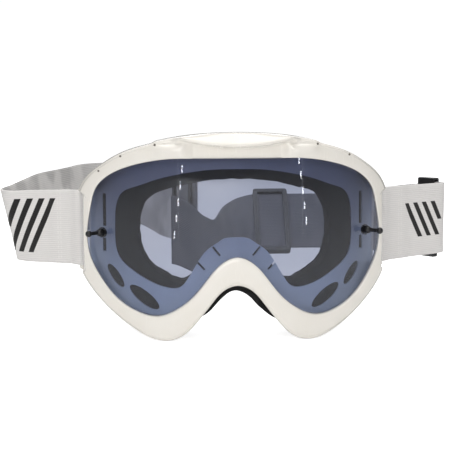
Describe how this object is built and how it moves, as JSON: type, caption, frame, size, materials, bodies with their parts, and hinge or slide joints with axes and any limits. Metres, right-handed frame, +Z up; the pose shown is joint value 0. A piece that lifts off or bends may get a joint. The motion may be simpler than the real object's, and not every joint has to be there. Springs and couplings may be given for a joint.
{
  "type": "motorcycle goggles",
  "caption": "Off-road riding goggles: one curved lens in a glossy rim, tear-off posts, layered face foam, and an elastic head strap with three-bar sliders.",
  "frame": {"origin": "middle of the face seal, where the fleece rests between the wearer's brows", "axes": "+Z up; the lens looks along -Y, so +Y points at the wearer; +X is the wearer's left"},
  "size_m": [0.2833, 0.1874, 0.1165],
  "materials": {
    "frame_white": "glossy injection-moulded urethane, warm white",
    "lens_smoke": "clear polycarbonate with a light blue-grey smoke tint",
    "black_plastic": "black acetal, semi-gloss",
    "vent_foam": "open-cell filter foam",
    "seal_foam": "open-cell polyurethane face foam",
    "fleece": "brushed polyester fleece",
    "strap_web": "woven elastic webbing, ribbed along its length"
  },
  "bodies": {
    "frame": {"outer_frame": "frame_white", "face_flange": "frame_white", "lens": "lens_smoke", "tear_off_post_left": "black_plastic", "tear_off_post_right": "black_plastic", "post_lock_left": "black_plastic", "post_lock_right": "black_plastic", "low_vent_foam_left": "vent_foam", "low_vent_foam_right": "vent_foam", "foam_base": "seal_foam", "foam_core": "seal_foam", "face_fleece": "fleece", "strap_end_left": "strap_web", "strap_end_right": "strap_web"},
    "strap": {"strap_left": "strap_web", "strap_right": "strap_web", "strap_keeper_left": "black_plastic"},
    "slider_left": {"slider_left": "black_plastic"},
    "slider_right": {"slider_right": "black_plastic"}
  },
  "joints": [
    {"name": "strap_swing", "type": "hinge", "parent": "frame", "child": "strap", "pos_m": [0, 0.026, 0.0013], "axis": [1, 0, 0], "range_deg": [-12, 12]},
    {"name": "slider_left_slide", "type": "slide", "parent": "strap", "child": "slider_left", "axis": [-1, 0, 0], "range_m": [-0.026, 0.003]},
    {"name": "slider_right_slide", "type": "slide", "parent": "strap", "child": "slider_right", "axis": [0.5, -0.866, 0], "range_m": [-0.012, 0.004]}
  ]
}
